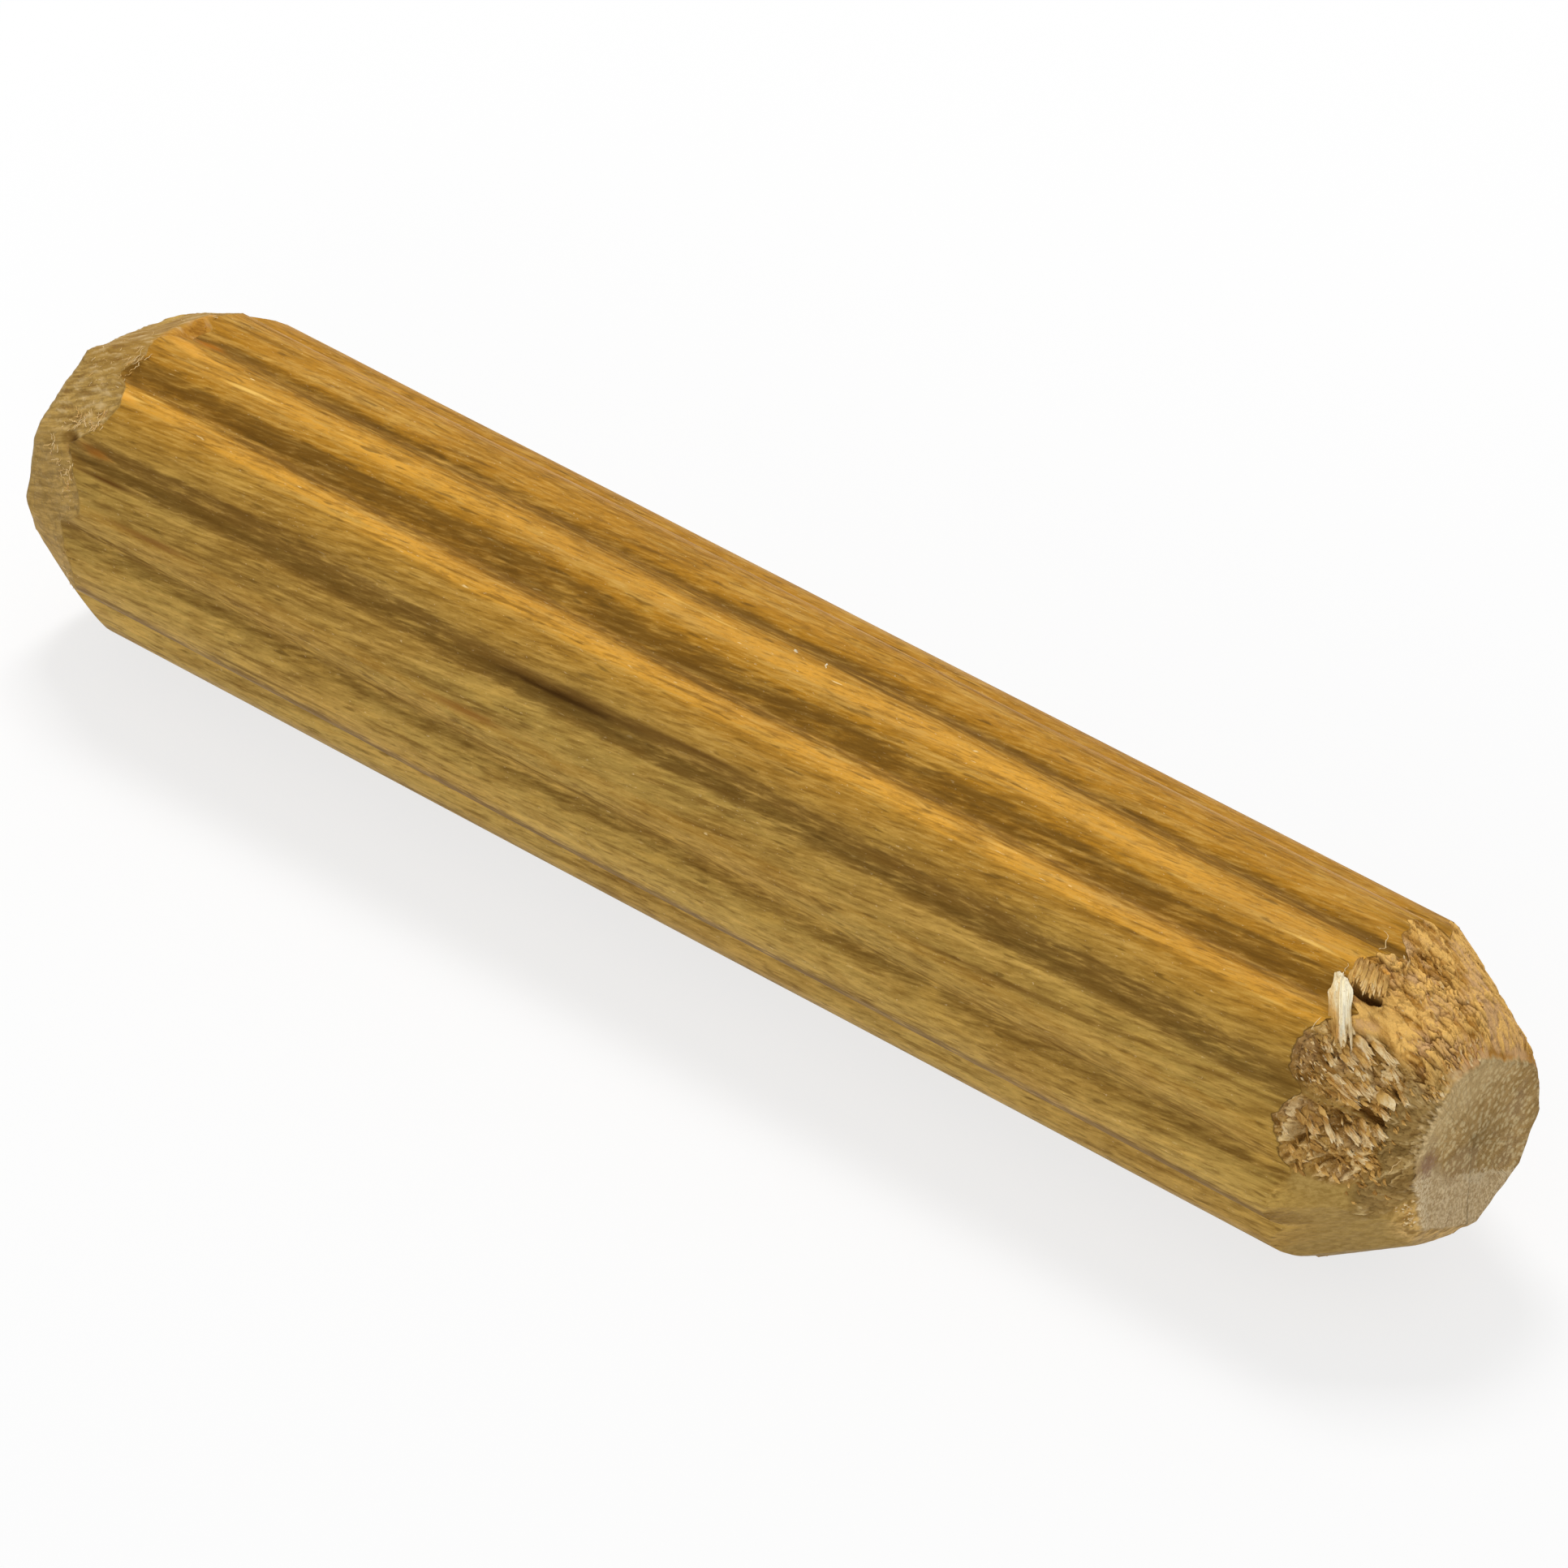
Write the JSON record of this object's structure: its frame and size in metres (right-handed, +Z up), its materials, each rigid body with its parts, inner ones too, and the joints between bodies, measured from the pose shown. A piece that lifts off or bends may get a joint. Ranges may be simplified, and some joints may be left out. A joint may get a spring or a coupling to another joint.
{
  "type": "fluted dowel pin",
  "caption": "Short round wooden joinery pin with straight flutes along its shank and chamfered, roughly torn ends.",
  "frame": {"origin": "middle of the pin, on its axis", "axes": "+X along the pin, towards the end with the narrower face and the torn chamfer; +Z up, with one flute pointing straight down"},
  "size_m": [0.04, 0.008, 0.008],
  "materials": {
    "wood": "bare, dry wood with the grain along the pin"
  },
  "bodies": {
    "root": {"dowel_pin": "wood"}
  },
  "joints": []
}
